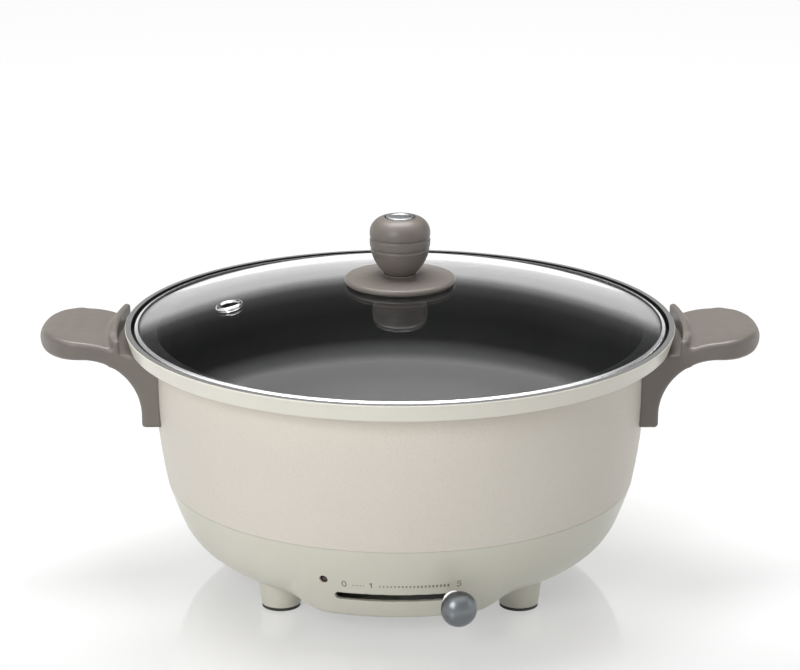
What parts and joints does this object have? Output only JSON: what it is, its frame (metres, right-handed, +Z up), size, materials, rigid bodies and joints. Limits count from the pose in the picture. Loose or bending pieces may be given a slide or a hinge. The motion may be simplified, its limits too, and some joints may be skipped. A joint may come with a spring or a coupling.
{
  "type": "electric hot pot",
  "caption": "Round table-top electric hot pot: wide-rimmed cast pan on a moulded base with a slider control, side handles, feet and a lift-off domed glass lid.",
  "frame": {"origin": "on the pot's axis, at the surface that the foot pads stand on", "axes": "+X from one handle to the other, seen from the front to the right; -Y to the control at the front; +Z up"},
  "size_m": [0.447, 0.34, 0.2263],
  "materials": {
    "pan_coating": "fine textured outside, dark satin non-stick inside",
    "cream_plastic": "smooth, satin gloss",
    "black_rubber": "matt",
    "screw_steel": "satin",
    "cast_aluminium": "cast, matt",
    "element_steel": "heat-darkened",
    "sheet_steel": "galvanised, satin",
    "steatite": "matt",
    "wire_sleeve": "braided glass-fibre sleeve",
    "red_lens": "clear, dark red",
    "lamp_glass": "clear",
    "black_plastic": "matt",
    "brass_pins": "satin",
    "taupe_plastic": "satin",
    "grey_plastic": "matt",
    "bright_metal": "polished",
    "satin_metal": "satin",
    "lid_glass": "clear, polished"
  },
  "bodies": {
    "pot": {"pan": "pan_coating", "base_shell": "cream_plastic", "bottom_cover": "cream_plastic", "foot_front_left": "cream_plastic", "foot_front_right": "cream_plastic", "foot_rear_left": "cream_plastic", "foot_rear_right": "cream_plastic", "pad_front_left": "black_rubber", "pad_front_right": "black_rubber", "pad_rear_left": "black_rubber", "pad_rear_right": "black_rubber", "foot_screws": "screw_steel", "cover_screws": "screw_steel", "base_screws": "screw_steel", "heat_plate": "cast_aluminium", "heating_element": "element_steel", "reflector": "sheet_steel", "reflector_screws": "screw_steel", "thermostat": "steatite", "thermostat_bracket": "sheet_steel", "bracket_screws": "screw_steel", "terminal_block": "steatite", "thermal_fuse": "steatite", "lead_wires": "wire_sleeve", "indicator_lens": "red_lens", "indicator_lamp": "lamp_glass", "inlet_socket": "black_plastic", "inlet_pins": "brass_pins", "inlet_screws": "screw_steel", "handle_left": "taupe_plastic", "handle_right": "taupe_plastic", "handle_screws": "screw_steel"},
    "control": {"control_spindle": "screw_steel", "control_lever": "sheet_steel", "lever_nut": "brass_pins", "slot_shutter": "grey_plastic", "slider_collar": "bright_metal", "slider_knob": "satin_metal"},
    "lid": {"lid_glass": "lid_glass", "lid_band": "bright_metal", "lid_seal": "black_rubber", "steam_vent": "bright_metal", "knob_gasket": "black_rubber", "knob_base": "taupe_plastic", "knob_grip": "taupe_plastic", "knob_cap": "satin_metal", "knob_washer": "black_rubber", "knob_screw": "screw_steel"}
  },
  "joints": [
    {"name": "heat_slider", "type": "hinge", "parent": "pot", "child": "control", "pos_m": [0, 0, 0.028], "axis": [0, 0, 1], "range_deg": [-26.5, 0]},
    {"name": "lid_lift", "type": "slide", "parent": "pot", "child": "lid", "axis": [0, 0, 1], "range_m": [0, 0.12]}
  ]
}
